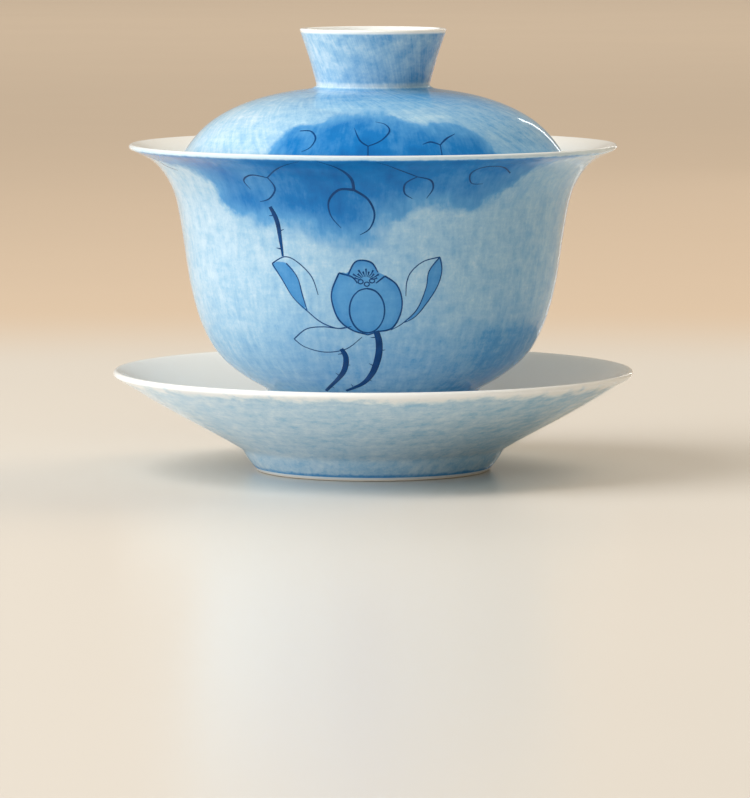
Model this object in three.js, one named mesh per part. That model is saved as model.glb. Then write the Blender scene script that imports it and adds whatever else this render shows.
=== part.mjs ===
// A lidded porcelain tea bowl standing on its saucer.
//
// Three thrown and fired pieces stack on one upright axis: the saucer, the bowl whose foot ring
// stands inside a low ring on the saucer's floor, and the lid that drops inside the bowl's flared
// lip. The ring that the lid is lifted by is luted on before firing, so it is part of the lid.
//
// Each piece is turned in its own frame, in millimetres, with its lowest edge at height 0, and is
// then placed by its height in the stack. The origin of the whole is the middle of the table
// under the saucer's foot ring, and +Z is up.

import * as THREE from 'three';

// How round the pieces are: flats around the axis, and steps for each point of an outline.
const SIDES = 48;
const STEPS = 2;

// A stacked piece stands this far clear of the piece that carries it.
const CLEARANCE = 0.3;

// The outer face of each piece is a smooth curve through a few points, each given as its distance
// from the axis and its height above the piece's lowest edge.

const SAUCER = {
  rimRadius: 55,
  height: 21.4,
  outerFace: [[27.9, 4.7], [33, 7.6], [40, 11.4], [47, 15.4], [52.9, 19.1]],
  wallAtFoot: 2.6,
  wallAtLip: 1.5,
  lipRadius: 0.75,
  footRadius: 25,
  footWidth: 2.6,
  recessHeight: 2.6,
  wellFloor: 7,
  ringRadius: 24.6,
  ringWidth: 1.3,
  ringHeight: 1.3,
};

const BOWL = {
  rimRadius: 51.5,
  height: 61.8,
  outerFace: [[22.3, 10], [27.1, 12.7], [32.4, 17.1], [36.2, 23.7], [38.7, 32.7], [40.2, 42.7],
    [41.7, 50.7], [43.8, 55.2], [46.3, 58.1], [48.9, 59.7]],
  wallAtFoot: 2.6,
  wallAtLip: 1.4,
  lipRadius: 0.65,
  footRadius: 23.4,
  footWidth: 2.2,
  recessHeight: 7,
  floor: 9.9,
  floorCurve: [16, 11.2],
};

const LID = {
  edgeRadius: 42.05,
  edgeRounding: 0.9,
  seat: 62.9,
  domeHeight: 18.3,
  outerFace: [[39, 5.8], [35, 10.2], [30, 13.35], [24, 15.65], [18, 17], [13.1, 17.7]],
  wall: 2.1,
  underside: 15.8,
};

const KNOB = {
  footRadius: 11.9,
  waistRadius: 13.55,
  topRadius: 15.45,
  height: 12.1,
  wall: 1.5,
  lipRounding: 0.4,
  recessHeight: 1,
  recessRounding: 1,
  footRise: 0.2,
};

// An outline point: distance from the axis, then height.
function point(radius, height) {
  return new THREE.Vector2(radius, height);
}

function points(pairs) {
  return pairs.map(([radius, height]) => point(radius, height));
}

// The inner face that keeps a wall's thickness from an outer face. The thickness changes evenly
// from the outer face's first point to its last. The inner face runs the other way.
function innerFace(outer, wallAtStart, wallAtEnd) {
  const last = outer.length - 1;
  const offset = (here, index) => {
    const before = outer[Math.max(index - 1, 0)];
    const after = outer[Math.min(index + 1, last)];
    const along = after.clone().sub(before).normalize();
    const wall = THREE.MathUtils.lerp(wallAtStart, wallAtEnd, index / last);
    return point(here.x - along.y * wall, here.y + along.x * wall);
  };
  return outer.map(offset).reverse();
}

// A rounded edge, anticlockwise between two angles in degrees, where 0 is outwards and 90 is up.
function roundEdge(outline, centre, rounding, fromDegrees, toDegrees) {
  const from = THREE.MathUtils.degToRad(fromDegrees);
  const to = THREE.MathUtils.degToRad(toDegrees);
  outline.absarc(centre.x, centre.y, rounding, from, to, false);
}

// The foot ring that a piece stands on, and the hollow inside it. The outline runs from the
// middle of the underside out to the top of the ring's outer face.
function footRing(outline, piece) {
  const { footRadius, footWidth, recessHeight, outerFace } = piece;
  const [topRadius, topHeight] = outerFace[0];
  const innerRadius = footRadius - footWidth;
  const bevel = 0.5;
  outline.moveTo(0, recessHeight);
  outline.lineTo(innerRadius - 2 * bevel, recessHeight);
  outline.lineTo(innerRadius - bevel, recessHeight - bevel);
  outline.lineTo(innerRadius, bevel);
  outline.lineTo(innerRadius + bevel, 0);
  outline.lineTo(footRadius - bevel, 0);
  outline.lineTo(footRadius, bevel);
  outline.lineTo((footRadius + topRadius) / 2, topHeight / 2);
  outline.lineTo(topRadius, topHeight);
}

// Turns an outline that starts and ends on the axis into a solid piece.
function turn(name, outline, finish) {
  const geometry = new THREE.LatheGeometry(outline.getPoints(STEPS), SIDES);
  const piece = new THREE.Mesh(geometry, new THREE.MeshStandardMaterial(finish));
  piece.name = name;
  return piece;
}

// A shallow dish with straight flaring sides. A low raised ring on its floor locates the bowl.
function saucer() {
  const { rimRadius, height, lipRadius, wallAtFoot, wallAtLip } = SAUCER;
  const { wellFloor, ringRadius, ringWidth, ringHeight } = SAUCER;
  const outer = points(SAUCER.outerFace);
  const ringTop = wellFloor + ringHeight;
  const outline = new THREE.Path();

  footRing(outline, SAUCER);
  outline.splineThru(outer.slice(1));
  roundEdge(outline, point(rimRadius - lipRadius, height - lipRadius), lipRadius, -45, 135);
  outline.splineThru(innerFace(outer, wallAtFoot, wallAtLip));
  outline.lineTo(ringRadius + ringWidth, ringTop);
  outline.lineTo(ringRadius + ringWidth / 2, ringTop);
  outline.lineTo(ringRadius, wellFloor);
  outline.lineTo(0, wellFloor);
  return turn('saucer', outline, { color: 0xa9c3d2, roughness: 0.16, metalness: 0 });
}

// A deep cup whose nearly upright wall sweeps out at the top into a thin flared lip.
function bowl() {
  const { rimRadius, height, lipRadius, wallAtFoot, wallAtLip, floor, floorCurve } = BOWL;
  const outer = points(BOWL.outerFace);
  const inner = innerFace(outer.slice(1), wallAtFoot, wallAtLip);
  const outline = new THREE.Path();

  footRing(outline, BOWL);
  outline.splineThru(outer.slice(1));
  roundEdge(outline, point(rimRadius - lipRadius, height - lipRadius), lipRadius, -45, 135);
  outline.splineThru([...inner, point(...floorCurve), point(0, floor)]);
  return turn('bowl', outline, { color: 0xbdd6e8, roughness: 0.12, metalness: 0 });
}

// The hollow flared ring on top of the lid, from the foot of its outer face, over its lip, to
// the middle of the recess that it surrounds.
function knob(outline, base) {
  const { footRadius, waistRadius, topRadius, height, wall } = KNOB;
  const { lipRounding, recessHeight, recessRounding } = KNOB;
  const lip = base + height - lipRounding;
  const waist = base + height / 2;
  const recess = base + recessHeight;
  outline.splineThru([point(waistRadius, waist), point(topRadius, lip)]);
  roundEdge(outline, point(topRadius - lipRounding, lip), lipRounding, 0, 90);
  roundEdge(outline, point(topRadius - wall + lipRounding, lip), lipRounding, 90, 180);
  outline.splineThru([
    point(waistRadius - wall, waist),
    point(footRadius - wall, recess + recessRounding),
    point(footRadius - wall - recessRounding, recess),
  ]);
  outline.lineTo(0, recess);
}

// A low dome, hollow below, that hangs inside the bowl's lip by its rounded edge.
function lid() {
  const { edgeRadius, edgeRounding, domeHeight, wall, underside } = LID;
  const { footRadius, footRise } = KNOB;
  const outer = points(LID.outerFace);
  const inner = innerFace(outer, wall, wall);
  const edgeCentre = point(edgeRadius - edgeRounding, edgeRounding);
  const outline = new THREE.Path();

  outline.moveTo(0, underside);
  outline.splineThru([...inner, point(edgeCentre.x - edgeRounding, edgeCentre.y)]);
  roundEdge(outline, edgeCentre, edgeRounding, 180, 360);
  outline.splineThru([...outer, point(footRadius, domeHeight + footRise)]);
  knob(outline, domeHeight);
  return turn('lid', outline, { color: 0x6c9fcb, roughness: 0.12, metalness: 0 });
}

// The pieces are turned about +Y and stacked along it, and the stack is then tipped up so that
// its axis stands along +Z.
function stack() {
  const gaiwan = new THREE.Group();
  const bowlPiece = bowl();
  const lidPiece = lid();
  bowlPiece.position.y = SAUCER.wellFloor + CLEARANCE;
  lidPiece.position.y = LID.seat;
  gaiwan.add(saucer(), bowlPiece, lidPiece);
  gaiwan.rotation.x = Math.PI / 2;
  return gaiwan;
}

export default stack();
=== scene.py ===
# %% [markdown]
# # A painted gaiwan
# A gaiwan is a lidded tea bowl that stands on its own saucer. This lesson takes the three plain
# turned pieces of the design and gives them what the potter and the painter give the real ones:
# a smooth thrown surface, brushed and sponged cobalt blue, and one clear coat of glaze over all.
#
# The design comes first, because everything else is measured from it. Lengths are in metres, +Z
# is up, and the middle of the table under the saucer is the origin. The painting faces -Y.

# %% Load the design
import math

import bmesh
import bpy
import numpy as np
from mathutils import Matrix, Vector


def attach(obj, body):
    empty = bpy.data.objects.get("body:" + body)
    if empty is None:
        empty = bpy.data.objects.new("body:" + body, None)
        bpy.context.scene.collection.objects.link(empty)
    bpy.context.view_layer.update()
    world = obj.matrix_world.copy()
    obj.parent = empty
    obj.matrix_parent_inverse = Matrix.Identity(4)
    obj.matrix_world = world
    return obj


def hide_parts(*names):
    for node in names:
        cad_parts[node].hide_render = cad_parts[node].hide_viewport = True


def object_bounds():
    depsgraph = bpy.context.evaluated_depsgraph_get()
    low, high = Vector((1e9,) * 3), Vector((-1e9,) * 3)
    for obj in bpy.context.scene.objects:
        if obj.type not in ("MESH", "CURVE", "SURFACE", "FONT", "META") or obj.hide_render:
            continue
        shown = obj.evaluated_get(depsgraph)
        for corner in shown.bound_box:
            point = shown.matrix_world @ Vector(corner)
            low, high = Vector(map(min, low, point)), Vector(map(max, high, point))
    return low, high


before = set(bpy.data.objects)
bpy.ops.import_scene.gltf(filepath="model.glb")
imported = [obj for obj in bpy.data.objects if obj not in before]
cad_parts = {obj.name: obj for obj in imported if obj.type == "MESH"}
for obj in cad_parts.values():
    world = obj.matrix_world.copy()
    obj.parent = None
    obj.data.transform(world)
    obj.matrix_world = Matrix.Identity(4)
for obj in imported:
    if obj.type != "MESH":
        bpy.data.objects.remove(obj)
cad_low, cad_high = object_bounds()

MM = 0.001
print("pieces:", sorted(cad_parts), "height in mm:", round((cad_high.z - cad_low.z) / MM, 1))

# %% [markdown]
# ## The camera
# The camera stands about 1.2 m away, a little above the lid, with a long lens that keeps the
# circles of the lips thin and calm. It could be aimed with a constraint, but two plain numbers,
# a distance and a downward tilt, are easier to check.

# %% Stand the camera in front
CAMERA_DISTANCE = 1.196
CAMERA_HEIGHT = 0.1286
CAMERA_ASIDE = 0.0004
CAMERA_TILT = math.radians(5.43)
LENS = 256.0

camera_data = bpy.data.cameras.new("camera")
camera_data.lens = LENS
camera_data.dof.use_dof = False
camera = bpy.data.objects.new("camera", camera_data)
camera.location = (CAMERA_ASIDE, -CAMERA_DISTANCE, CAMERA_HEIGHT)
camera.rotation_euler = (math.radians(90) - CAMERA_TILT, 0, 0)
bpy.context.scene.collection.objects.link(camera)
bpy.context.scene.camera = camera
print("camera at", tuple(round(c, 3) for c in camera.location), "lens", LENS)

# %% [markdown]
# ## Shader maths as sums
# A finish reads best as ordinary sums. The small class below wraps one value of a node tree:
# adding, subtracting, multiplying or dividing two of them adds a Math node, and `add` makes any
# other node. The same class serves the Geometry Nodes later on. Colours never pass through the
# operators, because a Math node would turn them grey.

# %% A class for node maths
class Wire:
    """One value in a node tree. Sums on it add Math nodes."""

    def __init__(self, socket):
        self.socket = socket
        self.tree = socket.node.id_data

    def math(self, operation, *terms):
        """The result of one Math node on the given terms."""
        return add(self.tree, "ShaderNodeMath", {"operation": operation}, *terms)

    def __add__(self, other):
        return self.math("ADD", self, other)

    def __sub__(self, other):
        return self.math("SUBTRACT", self, other)

    def __rsub__(self, other):
        return self.math("SUBTRACT", other, self)

    def __mul__(self, other):
        return self.math("MULTIPLY", self, other)

    def __truediv__(self, other):
        return self.math("DIVIDE", self, other)

    def __rtruediv__(self, other):
        return self.math("DIVIDE", other, self)

    __radd__ = __add__
    __rmul__ = __mul__


def add(tree, kind, settings, *values, out=0, **named):
    """A node of any kind: its settings first, then its sockets by place or by name."""
    node = tree.nodes.new(kind)
    for key, value in settings.items():
        setattr(node, key, value)
    sockets = list(zip(node.inputs, values))
    sockets += [(node.inputs[key.replace("_", " ")], value) for key, value in named.items()]
    for socket, value in sockets:
        if isinstance(value, Wire):
            tree.links.new(value.socket, socket)
        elif value is not None:
            socket.default_value = value
    return Wire(node.outputs[out])


def parts(vector):
    """The X, Y and Z of a vector, as three values."""
    split = add(vector.tree, "ShaderNodeSeparateXYZ", {}, vector).socket.node
    return [Wire(output) for output in split.outputs]


# %% Small helpers for finishes
def smooth(wire, low, high):
    """0 below low, 1 above high, and an even curve between."""
    return add(wire.tree, "ShaderNodeMapRange", {"interpolation_type": "SMOOTHSTEP"},
               wire, low, high)


def between(factor, first, second):
    """A value that goes from first to second as factor goes from 0 to 1."""
    return add(factor.tree, "ShaderNodeMix", {}, factor, None, first, second)


def tint(red, green, blue):
    """A colour as a screen shows it, 0 to 255, turned into light."""
    channels = [c / 255 for c in (red, green, blue)]
    return (*[c / 12.92 if c <= 0.04045 else ((c + 0.055) / 1.055) ** 2.4 for c in channels], 1)


def tinted(factor, first, second):
    """A colour that goes from first to second as factor goes from 0 to 1."""
    return add(factor.tree, "ShaderNodeMix", {"data_type": "RGBA"}, factor, None, None, None,
               None, None, first, second, out=2)


def ramp(factor, *stops):
    """A colour for each factor, evenly blended between stops of (place, colour)."""
    made = add(factor.tree, "ShaderNodeValToRGB", {}, factor)
    elements = made.socket.node.color_ramp.elements
    while len(elements) < len(stops):
        elements.new(0.5)
    for element, (where, _) in zip(elements, stops):
        element.position = where
    for element, (_, colour) in zip(elements, stops):
        element.color = colour
    return made


def place_on(tree):
    """Where each spot lies, in metres from the middle of the table."""
    return add(tree, "ShaderNodeTexCoord", {}, out="Object")


def noise(where, size, detail=3.0, rough=0.5):
    """Cloudy variation around 0.5, in patches about size across."""
    return add(where.tree, "ShaderNodeTexNoise", {}, where, None, 1 / size, detail, rough)


def attribute(tree, name):
    """A number that the piece carries at each point of its surface."""
    return add(tree, "ShaderNodeAttribute", {"attribute_name": name}, out="Fac")


def material(name, **uniform):
    """A new material: itself, its tree and its main shader, with uniform values set."""
    made = bpy.data.materials.new(name)
    made.use_nodes = True
    shader = made.node_tree.nodes["Principled BSDF"]
    for key, value in uniform.items():
        shader.inputs[key.replace("_", " ")].default_value = value
    return made, made.node_tree, shader


def feed(shader, name, wire):
    """Joins a value to one socket of the main shader."""
    wire.tree.links.new(wire.socket, shader.inputs[name])


print("half of a screen's white is", round(tint(128, 128, 128)[0], 3), "of its light")


# %% [markdown]
# ## The table, the backdrop and the light
# A small shiny pot is nearly all reflections, so its room is set up before any clay is turned.
# The table is one pale, softly polished plane. Its cream fades to a warm beige further off,
# which keeps the white lips clear of a white ground. A sweep of paper could do the same, but it
# would stand in the way when the pot is looked at from behind.

# %% A pale table
TABLE_HALF = 6.0
TABLE_SHIFT = (0.0, 0.22, 0.0)
GRAIN_SIZE = 0.25
CREAM_RADIUS = 0.46
BEIGE_RADIUS = 0.66
CREAM = tint(226, 223, 217)
BEIGE = tint(226, 205, 181)

table_finish, tree, shader = material("table_top", Specular_IOR_Level=0.35)
where = place_on(tree)
from_middle = add(tree, "ShaderNodeVectorMath", {"operation": "ADD"}, where, TABLE_SHIFT)
distance = add(tree, "ShaderNodeVectorMath", {"operation": "LENGTH"}, from_middle, out="Value")
grain = noise(where, GRAIN_SIZE) - 0.5
tone = smooth(distance + 0.02 * grain, CREAM_RADIUS, BEIGE_RADIUS)
feed(shader, "Base Color", ramp(tone, (0.0, CREAM), (1.0, BEIGE)))
feed(shader, "Roughness", 0.24 + 0.03 * grain)

corners = [(x, y, 0) for x, y in ((-1, -1), (1, -1), (1, 1), (-1, 1))]
table_mesh = bpy.data.meshes.new("table_top")
table_mesh.from_pydata([Vector(c) * TABLE_HALF for c in corners], [], [(0, 1, 2, 3)])
table_mesh.materials.append(table_finish)
table = bpy.data.objects.new("table_top", table_mesh)
bpy.context.scene.collection.objects.link(table)
print("table:", 2 * TABLE_HALF, "m square")

# %% [markdown]
# The tall light on the left is the window of the room, and a low strip of the same window
# reaches under the flare of the saucer. A narrow card behind on the right draws the crisp white
# line that shows how glassy the glaze is. A card in front and a warm wall on the right keep the
# shadow side open, and one more light reaches only the far end of the table. The air itself
# gives off a little warm light. One sun lamp would be simpler, but its shadows have hard edges
# and porcelain looks like plastic under it.

# %% Soft lights
MIDDLE = (cad_low + cad_high) / 2
FOOT = (0, 0, 0.01)
FAR_TABLE = (0, 3.3, 0)
DAYLIGHT = (255, 253, 250)
SKYLIGHT = (246, 250, 255)
WHITE_CARD = (255, 255, 255)
CREAM_CARD = (255, 252, 246)
WARM_WALL = (255, 230, 198)
LAMPLIGHT = (255, 249, 240)
ROOM = tint(242, 227, 206)
ROOM_STRENGTH = 0.45


def softbox(name, place, size, watts, colour, aim=MIDDLE, mirrored=True):
    """A rectangular light at a place, facing the middle of the pot unless told otherwise. One
    that isn't mirrored lights the glaze without leaving its own reflection in it."""
    light = bpy.data.lights.new(name, "AREA")
    light.shape = "RECTANGLE"
    light.size, light.size_y = size
    light.energy = watts
    light.color = tint(*colour)[:3]
    lamp = bpy.data.objects.new(name, light)
    lamp.location = place
    lamp.rotation_euler = (Vector(aim) - Vector(place)).to_track_quat("-Z", "Y").to_euler()
    lamp.visible_glossy = mirrored
    lamp.visible_camera = False
    bpy.context.scene.collection.objects.link(lamp)


softbox("window", (-0.84, -0.26, 1.02), (0.9, 1.3), 17.9, DAYLIGHT, mirrored=False)
softbox("low_window", (-0.78, -0.70, 0.10), (0.6, 0.16), 3.8, SKYLIGHT, FOOT, mirrored=False)
softbox("edge_card", (0.33, 1.1, 0.25), (0.03, 0.42), 0.17, WHITE_CARD)
softbox("front_card", (0.1, -1.3, 1.1), (0.8, 0.5), 1.6, CREAM_CARD, mirrored=False)
softbox("warm_wall", (0.75, 0.55, 1.05), (0.7, 0.7), 6.2, WARM_WALL, mirrored=False)
softbox("far_light", (0, 3.3, 2.2), (3.2, 2.6), 47.0, LAMPLIGHT, FAR_TABLE, mirrored=False)

world = bpy.data.worlds.new("room")
world.use_nodes = True
sky = world.node_tree.nodes["Background"]
sky.inputs["Color"].default_value = ROOM
sky.inputs["Strength"].default_value = ROOM_STRENGTH
bpy.context.scene.world = world
bpy.context.scene.view_settings.view_transform = "Standard"

# %% [markdown]
# ## The outline of each piece
# A thrown pot is one outline spun about its axis, so the outline is all that has to be known.
# The design is turned with flat sides, like a paper model. Its outline is read by cutting the
# piece with an upright plane. Long sides are divided, so that only a little of them is rounded,
# and then the corners are cut, the way a rib rounds wet clay: each corner is replaced by two
# points, a quarter of the way along its sides. Last, points are dropped where the line runs
# straight. A subdivision surface would round the piece too, but would pull its lips in further
# from their true size.

# %% Cut a piece down the middle
CUT_ANGLE = math.radians(0.02)
WELD = 0.001 * MM
DIGITS = 7


def cut_loop(node):
    """The points where an upright plane through the axis cuts a CAD piece, in order round it.
    They are rounded off, so that the outline is the same on every run."""
    cut = bmesh.new()
    cut.from_mesh(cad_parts[node].data)
    bmesh.ops.remove_doubles(cut, verts=cut.verts, dist=WELD)
    everything = cut.verts[:] + cut.edges[:] + cut.faces[:]
    across = (-math.sin(CUT_ANGLE), math.cos(CUT_ANGLE), 0)
    found = bmesh.ops.bisect_plane(cut, geom=everything, plane_co=(0, 0, 0), plane_no=across)
    edges = {e for e in found["geom_cut"] if isinstance(e, bmesh.types.BMEdge)}
    vert = min((v for e in edges for v in e.verts), key=lambda v: (abs(v.co.x), v.co.z))
    loop = []
    while edges:
        edge = next(e for e in vert.link_edges if e in edges)
        edges.remove(edge)
        loop.append((round(vert.co.x, DIGITS), round(vert.co.z, DIGITS)))
        vert = edge.other_vert(vert)
    cut.free()
    return loop


# %% Divide, soften and thin
CLOSE = 0.05 * MM
LONGEST = 2.5 * MM
QUARTER = 0.25
CUTS = 3
ROW = 1.0 * MM
BEND = math.radians(6)


def divide(points):
    """Adds points so that no side is longer than the longest allowed."""
    sides = [np.linspace(a, b, max(1, math.ceil(math.dist(a, b) / LONGEST)), endpoint=False)
             for a, b in zip(points, points[1:])]
    return np.vstack([*sides, points[-1:]])


def soften(points):
    """Cuts every corner of an open outline a few times, keeping its two ends."""
    for _ in range(CUTS):
        near = points[:-1] * (1 - QUARTER) + points[1:] * QUARTER
        far = points[:-1] * QUARTER + points[1:] * (1 - QUARTER)
        inner = np.stack([near, far], axis=1).reshape(-1, 2)
        points = np.vstack([points[:1], inner[1:-1], points[-1:]])
    return points


def thin(points):
    """Drops points from straight runs, and keeps them where the outline turns."""
    kept = [0]
    for i in range(1, len(points) - 1):
        back = points[i] - points[kept[-1]]
        onward = points[i + 1] - points[i]
        bend = abs(math.remainder(math.atan2(*back) - math.atan2(*onward), math.tau))
        if bend > BEND or np.hypot(*back) + np.hypot(*onward) > ROW:
            kept.append(i)
    return points[kept + [len(points) - 1]]


# %% The softened outline of each piece
def outline_of(node):
    """A piece's outline as rows of (distance from the axis, height), from the middle of its
    underside, out and up round its lip, to the middle of its top."""
    loop = cut_loop(node)
    middle = [z for r, z in loop if abs(r) <= WELD]
    side = [p for p in loop if p[0] > WELD]
    if side[0][1] > side[-1][1]:
        side.reverse()
    apart = side[:1]
    for point in side[1:]:
        if math.dist(point, apart[-1]) > CLOSE:
            apart.append(point)
    whole = np.array([(0.0, min(middle)), *apart, (0.0, max(middle))])
    return thin(soften(divide(whole)))


outlines = {name: outline_of(name) for name in sorted(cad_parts)}
for name, outline in outlines.items():
    print(f"{name}: {len(outline)} rows, widest {outline[:, 0].max() / MM:.2f} mm")

# %% [markdown]
# ## The painter's sheet
# The painting is laid out flat, on a sheet wrapped round the pot. Across is the distance round,
# counted at one middle radius, with 0 at the front. Along is the distance over the clay from the
# edge of the lip, or of the lid, on to the painted side. It is below 0 on the plain side. Sums
# on the sheet are easy, and a stroke drawn on it keeps its length when it is wrapped on.

# %% Measure along each outline
SHEET_RADIUS = 40 * MM


def lengths(points):
    """The distance along an open line to each of its points."""
    return np.concatenate([[0.0], np.cumsum(np.hypot(*np.diff(points, axis=0).T))])


edge_at, side_of = {}, {"bowl": -1.0, "saucer": -1.0, "lid": 1.0}
for name, outline in outlines.items():
    edge_at[name] = lengths(outline)[outline[:, 0].argmax()]
    print(f"{name}: the edge is {edge_at[name] / MM:.1f} mm along the outline")

# %% [markdown]
# ## Turning the pieces on the wheel
# Each outline is spun into a solid with Geometry Nodes. The Screw modifier or the spin tool
# would do it too, but the tree can carry the painter's sheet along as it goes: it bends a flat
# grid, one column for each step round and one row for each point of the outline, and it saves
# both sheet distances on the clay.

# %% Helpers for Geometry Nodes
def geometry_tree(name, **inputs):
    """A new Geometry Nodes tree, and its named inputs."""
    tree = bpy.data.node_groups.new(name, "GeometryNodeTree")
    tree.interface.new_socket("Geometry", in_out="OUTPUT", socket_type="NodeSocketGeometry")
    for label, kind in inputs.items():
        tree.interface.new_socket(label, in_out="INPUT", socket_type="NodeSocket" + kind)
    source = tree.nodes.new("NodeGroupInput")
    return tree, {label: Wire(source.outputs[label]) for label in inputs}


def end_tree(tree, geometry, finish):
    """Makes the result real, gives it its material and sends it out."""
    real = add(tree, "GeometryNodeRealizeInstances", {}, geometry)
    done = add(tree, "GeometryNodeSetMaterial", {}, real, Material=finish)
    tree.links.new(done.socket, tree.nodes.new("NodeGroupOutput").inputs[0])


def link(name, mesh):
    """A new object at the origin."""
    made = bpy.data.objects.new(name, mesh)
    bpy.context.scene.collection.objects.link(made)
    return made


def run_tree(name, tree, **values):
    """Runs a tree with the given inputs, and keeps what it makes as a plain mesh object."""
    bench = link(name + "_bench", bpy.data.meshes.new(name + "_bench"))
    modifier = bench.modifiers.new("tree", "NODES")
    modifier.node_group = tree
    for item in tree.interface.items_tree:
        if item.in_out == "INPUT":
            modifier[item.identifier] = values[item.name]
    ready = bench.evaluated_get(bpy.context.evaluated_depsgraph_get())
    mesh = bpy.data.meshes.new_from_object(ready)
    bpy.data.objects.remove(bench)
    mesh.name = name
    return link(name, mesh)


def outline_object(name):
    """An outline as a line of points above the X axis, for a tree to read."""
    rows = outlines[name]
    mesh = bpy.data.meshes.new(name + "_outline")
    links = [(i, i + 1) for i in range(len(rows) - 1)]
    mesh.from_pydata([(r, 0, z) for r, z in rows], links, [])
    along = mesh.attributes.new("along", "FLOAT", "POINT")
    along.data.foreach_set("value", side_of[name] * (lengths(rows) - edge_at[name]))
    return link(name + "_outline", mesh)


def wrap(tree, across, radius, height):
    """The place of a sheet distance across, at a radius and a height."""
    turn = across / SHEET_RADIUS
    x = radius * turn.math("SINE", turn)
    y = radius * turn.math("COSINE", turn) * -1.0
    return add(tree, "ShaderNodeCombineXYZ", {}, x, y, height)


# %% The wheel
ROUND = 360


def wheel_tree():
    """Spins an outline into a closed solid that carries the sheet distances."""
    tree, given = geometry_tree("wheel", Outline="Object", Rows="Int", Round="Int",
                                Finish="Material")
    outline = add(tree, "GeometryNodeObjectInfo", {}, given["Outline"], out="Geometry")
    grid = add(tree, "GeometryNodeMeshGrid", {}, None, None, given["Round"] + 1, given["Rows"])
    index = add(tree, "GeometryNodeInputIndex", {})
    column = index.math("FLOOR", (index + 0.5) / given["Rows"])
    row = index - column * given["Rows"]
    across = (column / given["Round"] - 0.5) * (math.tau * SHEET_RADIUS)

    here = add(tree, "GeometryNodeInputPosition", {})
    point = add(tree, "GeometryNodeSampleIndex", {"data_type": "FLOAT_VECTOR"}, outline, here,
                row)
    radius, _, height = parts(point)
    named = add(tree, "GeometryNodeInputNamedAttribute", {"data_type": "FLOAT"}, "along")
    along = add(tree, "GeometryNodeSampleIndex", {"data_type": "FLOAT"}, outline, named, row)
    bent = add(tree, "GeometryNodeSetPosition", {}, grid, None,
               wrap(tree, across, radius, height))

    kept = add(tree, "GeometryNodeStoreNamedAttribute", {"data_type": "FLOAT"}, bent, None,
               "along", along)
    sheet = add(tree, "ShaderNodeCombineXYZ", {}, across, along)
    kept = add(tree, "GeometryNodeStoreNamedAttribute",
               {"data_type": "FLOAT2", "domain": "CORNER"}, kept, None, "sheet", sheet)
    closed = add(tree, "GeometryNodeMergeByDistance", {}, kept, Distance=WELD)
    end_tree(tree, add(tree, "GeometryNodeSetShadeSmooth", {}, closed), given["Finish"])
    return tree


wheel = wheel_tree()
outline_objects = {name: outline_object(name) for name in outlines}
print("the wheel is a tree of", len(wheel.nodes), "nodes")


def throw(name, outline, finish):
    """One piece, spun on the wheel."""
    return run_tree(name, wheel, Outline=outline_objects[outline], Rows=len(outlines[outline]),
                    Round=ROUND, Finish=finish)


# %% [markdown]
# ## Drawing on the sheet
# A brush line is a few points that a smooth line flows through, with a width for each. The
# points are listed in millimetres on the sheet. Geometry Nodes thickens each line into a flat
# bead of colour and wraps it over the clay. A painted image would be quicker, but would
# blur close up, and a line made of real colour stays crisp.

# %% The brush
TIP_SIDES = 8
STROKE_STEP = 0.3 * MM
FLATNESS = 0.07


def brush_tree():
    """Turns drawn lines into flat beads of colour, and wraps them over a piece."""
    tree, given = geometry_tree("brush", Strokes="Object", Outline="Object", Edge="Float",
                                Side="Float", Rise="Float", Finish="Material")
    drawn = add(tree, "GeometryNodeObjectInfo", {}, given["Strokes"], out="Geometry")
    curved = add(tree, "GeometryNodeCurveSplineType", {"spline_type": "CATMULL_ROM"}, drawn)
    fine = add(tree, "GeometryNodeResampleCurve", {"mode": "LENGTH"}, curved,
               Length=STROKE_STEP)
    tip = add(tree, "GeometryNodeCurvePrimitiveCircle", {"mode": "RADIUS"}, TIP_SIDES,
              Radius=1.0)
    wide = add(tree, "GeometryNodeInputRadius", {})
    bead = add(tree, "GeometryNodeCurveToMesh", {}, fine, tip, Scale=wide, Fill_Caps=True)

    outline = add(tree, "GeometryNodeObjectInfo", {}, given["Outline"], out="Geometry")
    line = add(tree, "GeometryNodeMeshToCurve", {}, outline)
    across, along, lift = parts(add(tree, "GeometryNodeInputPosition", {}))
    reach = given["Edge"] + given["Side"] * along
    spot = add(tree, "GeometryNodeSampleCurve", {"mode": "LENGTH", "use_all_curves": True},
               line, Length=reach, out="Position")
    radius, _, height = parts(spot)
    lean_out, _, lean_up = parts(Wire(spot.socket.node.outputs["Tangent"]))
    proud = given["Rise"] * lift
    wrapped = add(tree, "GeometryNodeSetPosition", {}, bead, None,
                  wrap(tree, across, radius + proud * lean_up, height - proud * lean_out))
    smoothed = add(tree, "GeometryNodeSetShadeSmooth", {}, wrapped)
    end_tree(tree, smoothed, given["Finish"])
    return tree


brush = brush_tree()
print("the brush is a tree of", len(brush.nodes), "nodes")


# %% Draw lines and wrap them on
def lines_object(name, strokes):
    """Drawn lines as a curve object. A stroke is its points and its widths, in millimetres."""
    curve = bpy.data.curves.new(name, "CURVE")
    curve.dimensions = "3D"
    for points, widths in strokes:
        spline = curve.splines.new("POLY")
        spline.points.add(len(points) - 1)
        width_at = np.linspace(0, 1, len(widths))
        reached = np.linspace(0, 1, len(points))
        for point, (across, along), reach in zip(spline.points, points, reached):
            point.co = (across * MM, along * MM, 0, 1)
            point.radius = np.interp(reach, width_at, widths) / 2 * MM
    return link(name, curve)


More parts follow.
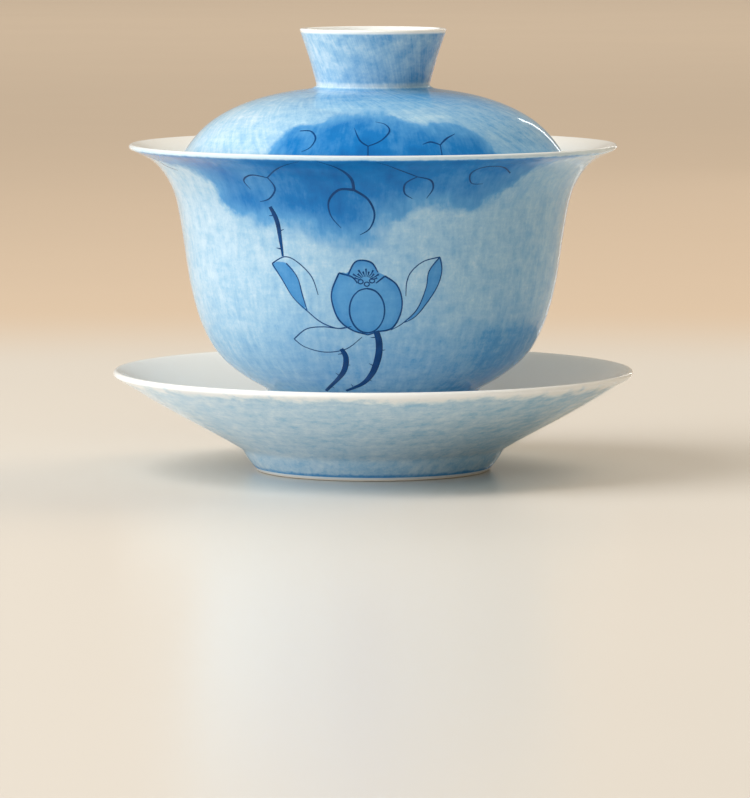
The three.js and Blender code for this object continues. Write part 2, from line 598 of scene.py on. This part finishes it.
def paint(name, piece, strokes, finish):
    """Brush lines on a piece, as one mesh with its faces turned outwards."""
    drawn = lines_object(name + "_drawn", strokes)
    made = run_tree(name, brush, Strokes=drawn, Outline=outline_objects[piece],
                    Edge=edge_at[piece], Side=side_of[piece], Rise=FLATNESS, Finish=finish)
    mesh = bmesh.new()
    mesh.from_mesh(made.data)
    bmesh.ops.recalc_face_normals(mesh, faces=mesh.faces)
    mesh.to_mesh(made.data)
    mesh.free()
    bpy.data.objects.remove(drawn)
    return made


# %% [markdown]
# ## What is painted
# On the lid and on the lip of the bowl lies a broad leaf, washed on with a full brush and then
# veined with a fine one. Below it an open water flower stands between two curved petals, on two
# thorny stems that bend away to the left. The back repeats the leaf, with a closed bud, so that
# the pot is worth turning round. Each pair is a distance across and one down from the edge of
# the lip, or up from the edge of the lid.

# %% Brush lines on the bowl
VEIN = (0.16, 0.34, 0.28)
TAPER = (0.28, 0.42, 0.12)
PETAL_LINE = (0.3, 0.21, 0.28, 0.16)
HEART_LINE = (0.38, 0.31, 0.4, 0.27)

bowl_veins = [
    ([(-12, 1), (-16.5, 4.5), (-20, 8)], VEIN),
    ([(-20, 8), (-23.2, 7.4), (-25.6, 9), (-24.8, 11.2)], TAPER),
    ([(-20, 8), (-19.2, 10.8), (-21, 13.2), (-23.4, 14)], TAPER),
    ([(-9, 0.8), (-6, 4.4), (-4, 7.8), (-3.6, 10.8)], (0.25, 0.6, 0.55)),
    ([(-3.6, 10.8), (-6.4, 10.8), (-8.6, 13.4), (-8.4, 16.6), (-6.4, 19.2)],
     (0.65, 0.5, 0.32, 0.12)),
    ([(-3.6, 10.8), (-1, 13), (0.3, 16.2), (-0.6, 19.2), (-2.6, 20.6)], (0.55, 0.42, 0.34, 0.14)),
    ([(0.5, 1), (4.5, 5), (8, 7.4)], VEIN),
    ([(8, 7.4), (6, 9.2), (6, 11.6), (7.6, 12.9)], TAPER),
    ([(8, 7.4), (10.6, 8.4), (11.4, 10.6), (10.4, 12.9)], TAPER),
    ([(26.5, 7), (23.5, 4.6), (20, 4.4), (18, 6.6), (18.9, 9.4), (21.4, 9.7)], TAPER),
    ([(-53, 0.8), (-49.5, 3.4), (-48.4, 6.2), (-44, 7.4)], TAPER),
]
print("veins on the bowl:", len(bowl_veins))

# %% The flower's petals
side_petals = {
    "left outer": [(-22, 27), (-19.9, 30.2), (-17.6, 34), (-14.6, 36.8), (-11.6, 39.2),
                   (-8.3, 40.4), (-6.2, 40.2)],
    "left top": [(-22, 27), (-19, 25.5), (-16.3, 26.3), (-13.1, 29.4), (-11.8, 33.3)],
    "left inner": [(-18.6, 26.8), (-16.3, 29.6), (-15.4, 33.2), (-14.6, 36.8)],
    "low upper": [(-18.8, 43.2), (-15.3, 40.8), (-11.3, 40.2), (-7.3, 40.5), (-4.8, 40)],
    "low lower": [(-18.8, 43.2), (-16.3, 45), (-11.5, 46.1), (-6.3, 45.2), (-2.5, 42.4)],
    "right outer": [(14, 25.4), (10.6, 26.2), (8.1, 28.2), (7.1, 30.5), (7, 33.5)],
    "right strip": [(14, 25.4), (11.8, 28.3), (11.3, 31.8), (9.6, 36.3), (6.6, 39.3),
                    (4, 40.8)],
    "right edge": [(14, 25.4), (14.6, 28.1), (13.9, 31.3), (11.7, 35), (9.2, 38),
                   (6.6, 39.3)],
}
heart_petals = {
    "left": [(-7.1, 28.6), (-8.7, 32.2), (-8.8, 35), (-7.5, 38.6), (-4.7, 40.8),
             (-1.1, 41.9)],
    "left inner": [(-7.1, 28.6), (-4.4, 29.4), (-3.3, 30.7)],
    "right": [(2.5, 29.2), (5, 31.1), (6.2, 34.3), (5.9, 37.5), (4.2, 40.4), (0.9, 41.2),
              (-1.1, 41.9)],
    "right inner": [(2.5, 29.2), (0.6, 30.7)],
    "back": [(-5.2, 29), (-3.9, 26.5), (-2.3, 25.9), (-0.2, 26.5), (1, 28.4)],
}
OVAL_MIDDLE = (-1.3, 36.6)
OVAL_HALF = (3.8, 4.8)
STAMEN_MIDDLE = (-1.5, 30.2)
print("petal lines:", len(side_petals) + len(heart_petals))


# %% Shapes that repeat in the flower
FAN = 1.25
FAN_FLATNESS = 0.8
SHORT_STAMEN = 0.78
STAMEN_BEND = 0.08
STAMEN_LINE = (0.15, 0.22, 0.42)
THORN_LEAN = 0.3
THORN_LINE = (0.4, 0.12)


def oval(middle, half, steps=14):
    """Points round an upright oval, starting at its top."""
    turns = np.linspace(0, math.tau, steps, endpoint=False)
    return [(middle[0] + half[0] * math.sin(t), middle[1] - half[1] * math.cos(t))
            for t in turns]


def stamens(middle, count, inner, outer):
    """Short ticks that fan out upwards round the middle of a flower."""
    ticks = []
    for i, turn in enumerate(np.linspace(-FAN, FAN, count)):
        reach = outer if i % 2 else outer * SHORT_STAMEN
        way = np.array([math.sin(turn), -FAN_FLATNESS * math.cos(turn)])
        near, far = np.array(middle) + way * inner, np.array(middle) + way * reach
        bent = (near + far) / 2 + STAMEN_BEND
        ticks.append(([tuple(near), tuple(bent), tuple(far)], STAMEN_LINE))
    return ticks


def thorns(points, part, length):
    """Short pricks on both sides of a stem, one part of the way between each two points."""
    pricks = []
    for i, (a, b) in enumerate(zip(points, points[1:])):
        a, b = np.array(a, float), np.array(b, float)
        way = (b - a) / np.hypot(*(b - a))
        side = np.array([way[1], -way[0]]) * (1 if i % 2 else -1)
        root = a + (b - a) * part
        tip = root + side * length - way * THORN_LEAN
        pricks.append(([tuple(root), tuple(tip)], THORN_LINE))
    return pricks


# %% The flower and its stems
DOT_HALF = (0.55, 0.45)
DOT_LINE = (0.2, 0.28)

oval_line = oval(OVAL_MIDDLE, OVAL_HALF)
bud_stem = [(-21.2, 15), (-20, 18), (-19.6, 21.6), (-19.3, 25.4)]
stem_right = [(0.7, 41), (1.4, 43.8), (1.2, 47.4), (-0.3, 52), (-3.2, 55.8), (-8.8, 59)]
stem_left = [(-7.5, 45.2), (-6.6, 47.5), (-7.6, 51.1), (-10.6, 54.7), (-15.9, 59.3)]

bowl_flower = [(line, PETAL_LINE) for line in side_petals.values()]
bowl_flower += [(line, HEART_LINE) for line in heart_petals.values()]
bowl_flower += [(oval_line + oval_line[:1], HEART_LINE)]
bowl_flower += stamens(STAMEN_MIDDLE, 11, 1.1, 3.2)
bowl_flower += [(oval(middle, DOT_HALF, 7) * 2, DOT_LINE) for middle in
                ((-2.6, 30.4), (-1.3, 30.9), (-0.2, 30.2))]
bowl_stems = [
    (bud_stem, (0.8, 1.05, 0.85, 0.5)),
    (stem_right, (1.3, 1.75, 1.6, 0.9)),
    (stem_left, (1.0, 1.55, 1.2, 0.9)),
    *thorns(bud_stem, 0.6, 1.2),
    *thorns(stem_right, 0.5, 1.6),
    *thorns(stem_left, 0.5, 1.4),
]
print("lines of the flower:", len(bowl_flower), "of its stems:", len(bowl_stems))

# %% Brush lines on the lid, and the back
lid_veins = [
    ([(-17.8, 12), (-15, 12), (-13.2, 10), (-13.8, 7.6), (-15.6, 6.4)], TAPER),
    ([(-1, 2), (-1.1, 8)], VEIN),
    ([(-1.1, 8), (-3, 9.6), (-4.5, 13.1)], TAPER),
    ([(-1.1, 8), (1.8, 9.5), (3.9, 12.2), (3, 14.4), (0.6, 15.3)], TAPER),
    ([(14.4, 2), (15, 8.2)], VEIN),
    ([(15, 8.2), (17, 9.8), (19.7, 11.1)], TAPER),
    ([(15, 8.2), (13, 9), (11, 8.4)], TAPER),
]
HALF_ROUND = math.pi * SHEET_RADIUS / MM
bud_lines = [
    [(0, 46), (-4.2, 41), (-4.6, 35), (-1.4, 28), (0.4, 25.4)],
    [(0, 46), (4.4, 41.2), (4.9, 35.4), (2.6, 29.4), (0.4, 25.4)],
    [(0, 46), (-1.8, 40), (-1.2, 33), (0.4, 25.4)],
    [(0, 46), (2.4, 40.4), (2.2, 34), (0.4, 25.4)],
]
back_stem = [(0, 46), (0.8, 49), (0.2, 53), (-2.6, 57), (-6.6, 60)]


def shifted(points, shift, mirror=1):
    """Points moved round the pot, and turned over left to right if mirror is -1."""
    return [(shift + mirror * across, along) for across, along in points]


def on_the_back(strokes):
    """The same strokes on the other side of the pot, mirrored."""
    return [(shifted(points, HALF_ROUND, -1), widths) for points, widths in strokes]


bowl_back = on_the_back(bowl_veins[:-1])
bowl_back += [(shifted(line, HALF_ROUND), PETAL_LINE) for line in bud_lines]
bowl_back += [(shifted(back_stem, HALF_ROUND), (1.0, 1.6, 1.4))]
bowl_back += [(shifted(p, HALF_ROUND), w) for p, w in thorns(back_stem, 0.5, 1.4)]
bowl_strokes = bowl_veins + bowl_flower + bowl_stems + bowl_back
lid_strokes = lid_veins + on_the_back(lid_veins)
print("brush lines: bowl", len(bowl_strokes), "lid", len(lid_strokes))

# %% [markdown]
# ## Where the washes lie
# A wash has no line round it, only an edge that creeps. So each wash is stored on the clay as a
# distance from its edge, above 0 inside, and the finish later lets that edge wander with a
# little noise. Vertex colours would also do, but they would fix the edge at one softness.

# %% Measure the washes on each piece
FURTHEST_OUT = -8.0


def flowing(points, steps=6):
    """A smooth closed line through the given points."""
    p = np.array(points, float)
    before, after, beyond = np.roll(p, 1, 0), np.roll(p, -1, 0), np.roll(p, -2, 0)
    lines = []
    for t in np.linspace(0, 1, steps, endpoint=False):
        lines.append(0.5 * (2 * p + (after - before) * t
                            + (2 * before - 5 * p + 4 * after - beyond) * t ** 2
                            + (3 * p - before - 3 * after + beyond) * t ** 3))
    return np.stack(lines, axis=1).reshape(-1, 2)


def depth_inside(places, outline):
    """How deep inside a closed outline each place lies. Outside it is below 0."""
    middle = (outline[:, 0].min() + outline[:, 0].max()) / 2
    turns = np.round((places[:, 0] - middle) / (2 * HALF_ROUND))
    unrolled = places - np.outer(turns, (2 * HALF_ROUND, 0))
    nearest = np.full(len(places), np.inf)
    inside = np.zeros(len(places), bool)
    for start, end in zip(outline, np.roll(outline, -1, axis=0)):
        side = end - start
        away = unrolled - start
        part = np.clip(away @ side / (side @ side), 0, 1)
        nearest = np.minimum(nearest, np.hypot(*(away - part[:, None] * side).T))
        level = (away[:, 1] < 0) != (away[:, 1] < side[1])
        inside ^= level & (away[:, 0] * side[1] ** 2 < away[:, 1] * side[0] * side[1])
    return np.where(inside, nearest, -nearest)


def store_washes(piece, name, washes):
    """Saves on a piece, for each vertex, how deep it lies inside any of the washes."""
    mesh = piece.data
    spots = np.empty((len(mesh.vertices), 3))
    mesh.vertices.foreach_get("co", spots.ravel())
    along = np.empty(len(spots))
    mesh.attributes["along"].data.foreach_get("value", along)
    across = SHEET_RADIUS * np.arctan2(spots[:, 0], -spots[:, 1])
    places = np.stack([across, along], axis=1) / MM
    depths = [depth_inside(places, flowing(line)) for line in washes]
    deepest = np.maximum(np.max(depths, axis=0), FURTHEST_OUT)
    mesh.attributes.new(name, "FLOAT", "POINT").data.foreach_set("value", deepest)
    print(f"{name} on {piece.name}: {(deepest > 0).sum()} of {len(deepest)} vertices inside")


# %% The outlines of the washes
bowl_leaf = [(-53, 0), (-50, 4.5), (-45, 5.5), (-40, 6.2), (-35, 10), (-33, 15), (-26, 19),
             (-17, 18.8), (-11.5, 22.5), (-3, 24), (1.8, 22), (4, 18.2), (9.5, 15.2),
             (15.5, 15.6), (20, 16), (24.7, 13.2), (28, 10.2), (31.5, 6.8), (35, 3.4), (41, 1.2),
             (46, 0), (46, -6), (-53, -6)]
bowl_deep = [(-27, -6), (-25, 2.5), (-20.5, 6), (-17.5, 12), (-13.5, 16.5), (-9, 18.8), (-5, 18.4),
             (-1.5, 16), (1.5, 12.8), (6, 10.6), (12, 10), (18, 8), (24, 4.6), (30, 1.5), (34, -6)]
lid_deep = [(-16, -2), (-14.5, 5), (-10, 10), (-7, 14.5), (-2, 16.5), (3, 14.5), (7, 9.5),
            (13, 10.5), (19, 8.5), (23, 3), (24, -2)]
lid_leaf = [(-22, -2), (-22.6, 8.5), (-20.5, 12), (-17, 14.2), (-13.5, 15.4), (-9.5, 19),
            (-4, 21), (3, 19.6), (8, 15.8), (13, 14), (18, 14.9), (22, 14.4), (25, 11.8),
            (27.5, 8.5), (28, -2)]
left_fill = side_petals["left outer"][:4] + side_petals["left inner"][-2::-1]
right_fill = side_petals["right strip"][:5] + side_petals["right edge"][-2:0:-1]
heart_fill = heart_petals["left"] + heart_petals["right"][-2::-1]
heart_fill += [(0.8, 28.2), (-0.2, 26.5), (-2.3, 25.9), (-3.9, 26.5), (-5.2, 28.6)]
bud_fill = shifted(bud_lines[0] + bud_lines[1][-2:0:-1], HALF_ROUND)
bowl_washes = {
    "leaf": [bowl_leaf, shifted(bowl_leaf, HALF_ROUND, -1)],
    "deep": [bowl_deep, shifted(bowl_deep, HALF_ROUND, -1)],
    "petal": [left_fill, right_fill, heart_fill, bud_fill],
}
lid_washes = {
    "leaf": [lid_leaf, shifted(lid_leaf, HALF_ROUND, -1)],
    "deep": [lid_deep, shifted(lid_deep, HALF_ROUND, -1)],
}
print("washes: bowl", sum(map(len, bowl_washes.values())),
      "lid", sum(map(len, lid_washes.values())))

# %% [markdown]
# ## The glaze
# All three pieces have one recipe: white porcelain, cobalt blue worked into it with a brush and
# a sponge, and a clear glaze on top. The recipe is one number for each spot, how much cobalt
# lies there. A row of colours turns it into blue, as a test tile would. The sponged ground is
# noise, drawn out the way the brush went: down the wall of the bowl, out from the knob of the
# lid, and slantwise round the saucer.

# %% How cobalt looks, from none to most
COBALT = ((0.0, tint(240, 244, 245)), (0.15, tint(212, 229, 239)), (0.35, tint(155, 196, 224)),
          (0.55, tint(84, 153, 208)), (0.75, tint(18, 115, 188)), (1.0, tint(4, 84, 156)))
# A greyer copy of the glaze white for the plain side: painted shade in the hollows, under the lid
# and on each lip's top.
SHADED_INSIDE_WHITE = tint(229, 231, 229)
CLAY = tint(240, 235, 226)
print("cobalt steps on the test tile:", len(COBALT))


# %% Noise that follows the brush
def way_round(tree):
    """The level direction, of length 1, from the axis to each spot."""
    where = place_on(tree)
    level = add(tree, "ShaderNodeVectorMath", {"operation": "MULTIPLY"}, where, (1, 1, 0))
    return add(tree, "ShaderNodeVectorMath", {"operation": "NORMALIZE"}, level)


def drawn_out(tree, across, along, lean=0.0):
    """A place on the piece for a noise that is so wide round it and so long over its face. The
    noise leans by a turn, in radians, for each metre along."""
    way = way_round(tree)
    length = attribute(tree, "along")
    turned = add(tree, "ShaderNodeVectorRotate", {"rotation_type": "Z_AXIS"}, way,
                 Angle=length * lean)
    wide = SHEET_RADIUS / across
    scaled = add(tree, "ShaderNodeVectorMath", {"operation": "MULTIPLY"}, turned,
                 (wide, wide, 0))
    up = add(tree, "ShaderNodeCombineXYZ", {}, None, None, length / along)
    return add(tree, "ShaderNodeVectorMath", {"operation": "ADD"}, scaled, up)


def sponged(tree, across, along, lean=0.0):
    """The uneven ground, about -1 to 1: brushed streaks, soft clouds and a sponge's grain."""
    where = place_on(tree)
    streaks = noise(drawn_out(tree, across, along, lean), 1.0, 4.0, 0.65) - 0.5
    dabs = noise(where, 2.2 * MM, 3.0, 0.6) - 0.5
    clouds = noise(where, 7 * MM, 3.0, 0.55) - 0.5
    grain = noise(where, 0.5 * MM, 3.0, 0.7) - 0.5
    weave = noise(drawn_out(tree, 1.3 * along, 0.7 * across, lean), 1.0, 3.0, 0.6) - 0.5
    return 2.6 * streaks + 1.4 * weave + 2.2 * dabs + 1.3 * clouds + 1.5 * grain


# %% The edge of a wash
WANDER_SIZE = 3.5 * MM


def wash(tree, name, creep, soft):
    """0 outside a stored wash and 1 inside, with an edge that wanders."""
    where = place_on(tree)
    wander = noise(where, WANDER_SIZE, 4.0, 0.65) - 0.5
    return smooth(attribute(tree, name) + creep * wander, -soft, soft)


# %% The one recipe
BARE_EDGE = 0.2 * MM
PLAIN_INSIDE = (0.2 * MM, -1.2 * MM)
BISCUIT_ROUGHNESS = 0.62
SMEAR_SIZE = 14 * MM
RIPPLE_SIZE = 5 * MM
PITTING_SIZE = 0.6 * MM
RIPPLE_DEPTH = 0.05 * MM
GLAZE_SHINE = {"IOR": 1.52, "Specular_IOR_Level": 0.22}


def glazed(name, rule, bare):
    """Porcelain with cobalt under a clear glaze. The rule gives the cobalt. Bare is the stretch
    of the underside, in metres along, that the glaze leaves free for the kiln shelf."""
    finish, tree, shader = material(name, **GLAZE_SHINE)
    along = attribute(tree, "along")
    where = place_on(tree)
    shade = ramp(rule(tree, along), *COBALT)
    starts, ends = bare
    unglazed = smooth(along, starts, starts + BARE_EDGE) * smooth(along, ends, ends - BARE_EDGE)
    # The plain side, from the top of each lip inwards, takes the greyer white: painted shade.
    inside = smooth(along, *PLAIN_INSIDE)
    feed(shader, "Base Color", tinted(unglazed, tinted(inside, shade, SHADED_INSIDE_WHITE), CLAY))
    smear = noise(where, SMEAR_SIZE, 3.0, 0.5)
    feed(shader, "Roughness", between(unglazed, 0.05 + 0.06 * smear, BISCUIT_ROUGHNESS))
    ripple = noise(where, RIPPLE_SIZE, 2.0, 0.4) + 0.12 * noise(where, PITTING_SIZE, 2.0, 0.5)
    bump = add(tree, "ShaderNodeBump", {}, Strength=0.35, Distance=RIPPLE_DEPTH, Height=ripple)
    feed(shader, "Normal", bump)
    return finish


# %% [markdown]
# ## How much cobalt, and where
# Each piece has a rule for its cobalt. The leaf has two washes, as a painter would lay them: a
# thin one to its edge, which fades as it runs away from the lip, and a full one over its middle.
# The ground is painted paler on the side the window lights, as painted light, and darker on the
# far side, as painted shade. The blue stops short of each edge and of the foot, so a white line of
# bare porcelain is left there. The stretches below are distances along the sheet: where a change
# starts, and where it is complete.

# %% Find the rim of the lid's ring
lid_rows = outlines["lid"]
top_rows = np.flatnonzero(lid_rows[:, 1] > cad_high.z - 1.5 * MM)
knob_lip = top_rows[lid_rows[top_rows, 0].argmax()]
KNOB_RIM = lengths(lid_rows)[knob_lip] - edge_at["lid"]
print(f"the knob's rim is {KNOB_RIM / MM:.1f} mm along from the lid's edge")

# %% The leaf and the two sides
LEAF_FADES = (12 * MM, 23 * MM)


def leaf_cobalt(tree, ground):
    """The leaf's thin wash and its full wash, laid over the ground."""
    where = place_on(tree)
    streaks = noise(drawn_out(tree, 1.4 * MM, 5 * MM), 1.0, 4.0, 0.65) - 0.5
    pools = noise(where, 6 * MM, 4.0, 0.6) - 0.5
    uneven = 0.42 * pools + 0.25 * streaks
    faded = 0.14 * smooth(attribute(tree, "along"), *LEAF_FADES)
    thin_wash = 0.60 + uneven - faded + 0.09 * smooth(attribute(tree, "leaf"), 0.5, 6.0)
    full_wash = 0.73 + uneven + 0.09 * smooth(attribute(tree, "deep"), 2.0, 8.0)
    leaf = between(wash(tree, "deep", 6.0, 2.6), thin_wash, full_wash)
    return between(wash(tree, "leaf", 4.6, 1.2), ground, leaf)


def window_side_painted_light(tree):
    """1 on the -X side, which the window lights, and 0 from the front onwards. Painted light: the
    ground is made paler where the light falls.
    """
    toward_x, _, _ = parts(way_round(tree))
    return smooth(toward_x, -0.2, -0.95)


def far_side_painted_shade(tree):
    """1 on the +X side, away from the window, and 0 from the front onwards. Painted shade: the
    ground is made darker where the shade falls.
    """
    toward_x, _, _ = parts(way_round(tree))
    return smooth(toward_x, 0.3, 0.9)


# %% The bowl's cobalt
BOWL_GROUND = 0.37
BOWL_DARKENS = (26 * MM, 50 * MM)
# Where the darker patch low on the +X side, painted shade, starts and is complete.
LOW_PAINTED_SHADE = (39 * MM, 43 * MM)
BOWL_BLUE = (0.1 * MM, 0.75 * MM)
LIP_TRACE = 0.3
BOWL_FOOT_EDGE = (71.9 * MM, 71.4 * MM)


def bowl_rule(tree, along):
    """A sponged ground that darkens downwards, the leaf below the lip, and the petals."""
    where = place_on(tree)
    ragged = 16 * MM * (noise(where, 12 * MM, 4.0, 0.6) - 0.5)
    # Painted light on the -X side, toward the window, and painted shade on the +X side.
    side = 0.03 * far_side_painted_shade(tree) - 0.085 * window_side_painted_light(tree)
    ground = BOWL_GROUND + side + 0.088 * sponged(tree, 1.6 * MM, 5 * MM)
    low = 0.07 * smooth(along + ragged, *BOWL_DARKENS)
    # A darker patch low on the +X side of the wall: painted shade.
    low += 0.09 * far_side_painted_shade(tree) * smooth(along + 0.5 * ragged, *LOW_PAINTED_SHADE)
    leaf = leaf_cobalt(tree, ground + low)
    pooled = 0.05 * smooth(attribute(tree, "petal"), 0.2, 2.0)
    petal = 0.63 + 0.05 * sponged(tree, 1.5 * MM, 6 * MM) - pooled
    filled = between(wash(tree, "petal", 0.4, 0.15), leaf, petal)
    edge = 0.5 * MM * (noise(where, 3 * MM, 3.0, 0.6) - 0.5)
    lip = LIP_TRACE + (1 - LIP_TRACE) * smooth(along + edge, *BOWL_BLUE)
    return filled * lip * smooth(along, *BOWL_FOOT_EDGE)


# %% The lid's cobalt
LID_GROUND = 0.39
LID_LEAN = 22.0
NEAR_RING = (14 * MM, 30 * MM)
ON_RING = (36 * MM, 38 * MM)
FILLET_STARTS = (35.9 * MM, 36.5 * MM)
FILLET_ENDS = (37.8 * MM, 37.0 * MM)
LID_BLUE = (0.3 * MM, 1.0 * MM)
RIM_WHITE = (KNOB_RIM - 0.2 * MM, KNOB_RIM - 0.8 * MM)


def lid_rule(tree, along):
    """Leaning strokes out from the ring, the leaf, and blotches on the ring itself."""
    # Painted light on the -X side, toward the window, and painted shade on the +X side.
    side = 0.08 * far_side_painted_shade(tree) - 0.09 * window_side_painted_light(tree)
    ground = LID_GROUND + side + 0.10 * sponged(tree, 1.4 * MM, 8 * MM, LID_LEAN)
    near_ring = 0.10 * smooth(along, *NEAR_RING) - 0.08 * smooth(along, *ON_RING)
    blotches = 0.4 * (noise(place_on(tree), 3 * MM, 4.0, 0.6) - 0.5) * smooth(along, *ON_RING)
    leaf = leaf_cobalt(tree, ground + near_ring + blotches)
    fillet = 0.19 * smooth(along, *FILLET_STARTS) * smooth(along, *FILLET_ENDS)
    rim = smooth(along + 0.5 * MM * blotches, *RIM_WHITE)
    return (leaf - fillet) * smooth(along, *LID_BLUE) * rim


# %% The saucer's cobalt
SAUCER_GROUND = 0.27
SAUCER_LEAN = 12.0
NEAR_FOOT = (29 * MM, 35 * MM)
FOOT_LINE = (34.9 * MM, 35.8 * MM)
SAUCER_BLUE = (0.4 * MM, 3.4 * MM)
SAUCER_FOOT_EDGE = (36.3 * MM, 36.0 * MM)


def saucer_rule(tree, along):
    """Slanting dabs under a ragged white band, and a blue line round the foot."""
    ragged = 8.5 * MM * (noise(place_on(tree), 5 * MM, 4.0, 0.65) - 0.5)
    # Painted light on the -X side, toward the window, and painted shade on the +X side.
    side = 0.04 * far_side_painted_shade(tree) - 0.05 * window_side_painted_light(tree)
    ground = SAUCER_GROUND + side + 0.11 * sponged(tree, 5 * MM, 1.6 * MM, SAUCER_LEAN)
    ground += 0.05 * smooth(along, *NEAR_FOOT)
    foot_line = 0.24 * smooth(along + 0.2 * ragged, *FOOT_LINE)
    cobalt = (ground + foot_line) * smooth(along + ragged, *SAUCER_BLUE)
    return cobalt * smooth(along, *SAUCER_FOOT_EDGE)


# %% Mix the three glazes
SAUCER_BARE = (36.6 * MM, 39.6 * MM)
BOWL_BARE = (72.0 * MM, 74.8 * MM)
LID_BARE = (-1.6 * MM, -0.9 * MM)

saucer_glaze = glazed("saucer_glaze", saucer_rule, SAUCER_BARE)
bowl_glaze = glazed("bowl_glaze", bowl_rule, BOWL_BARE)
lid_glaze = glazed("lid_glaze", lid_rule, LID_BARE)
print("nodes in the bowl's glaze:", len(bowl_glaze.node_tree.nodes))

# %% The colour of a brush line
LINE_BLUES = ((0.4, tint(14, 104, 172)), (0.7, tint(0, 72, 138)), (1.0, tint(0, 50, 100)))

line_blue, tree, shader = material("brushed_line", **GLAZE_SHINE)
where = place_on(tree)
load = 0.86 + 0.5 * (noise(where, 2.5 * MM, 3.0, 0.6) - 0.5)
feed(shader, "Base Color", ramp(load, *LINE_BLUES))
feed(shader, "Roughness", 0.06 + 0.05 * noise(where, 6 * MM))
print("blues of a brush line:", len(LINE_BLUES))

# %% [markdown]
# ## Throwing, painting and handing over
# Now the pieces are spun, the washes measured on them, and the brush lines laid on. Each piece
# takes the place of its plain design piece and moves with it, so the bowl lifts off the saucer
# with its painting, and the lid off the bowl with its own.

# %% Spin the three pieces
saucer_piece = throw("porcelain_saucer", "saucer", saucer_glaze)
bowl_piece = throw("porcelain_bowl", "bowl", bowl_glaze)
lid_piece = throw("porcelain_lid", "lid", lid_glaze)
for piece, washes in ((bowl_piece, bowl_washes), (lid_piece, lid_washes)):
    for name, outlines_drawn in washes.items():
        store_washes(piece, name, outlines_drawn)

# %% Lay on the brush lines
bowl_lines = paint("bowl_brushwork", "bowl", bowl_strokes, line_blue)
lid_lines = paint("lid_brushwork", "lid", lid_strokes, line_blue)
for helper in outline_objects.values():
    bpy.data.objects.remove(helper)
print("faces of the brush lines:", [len(o.data.polygons) for o in (bowl_lines, lid_lines)])

# %% Hand the pieces over
for piece, node in ((saucer_piece, "saucer"), (bowl_piece, "bowl"), (lid_piece, "lid")):
    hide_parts(node)
    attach(piece, node)
for lines, node in ((bowl_lines, "bowl"), (lid_lines, "lid")):
    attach(lines, node)
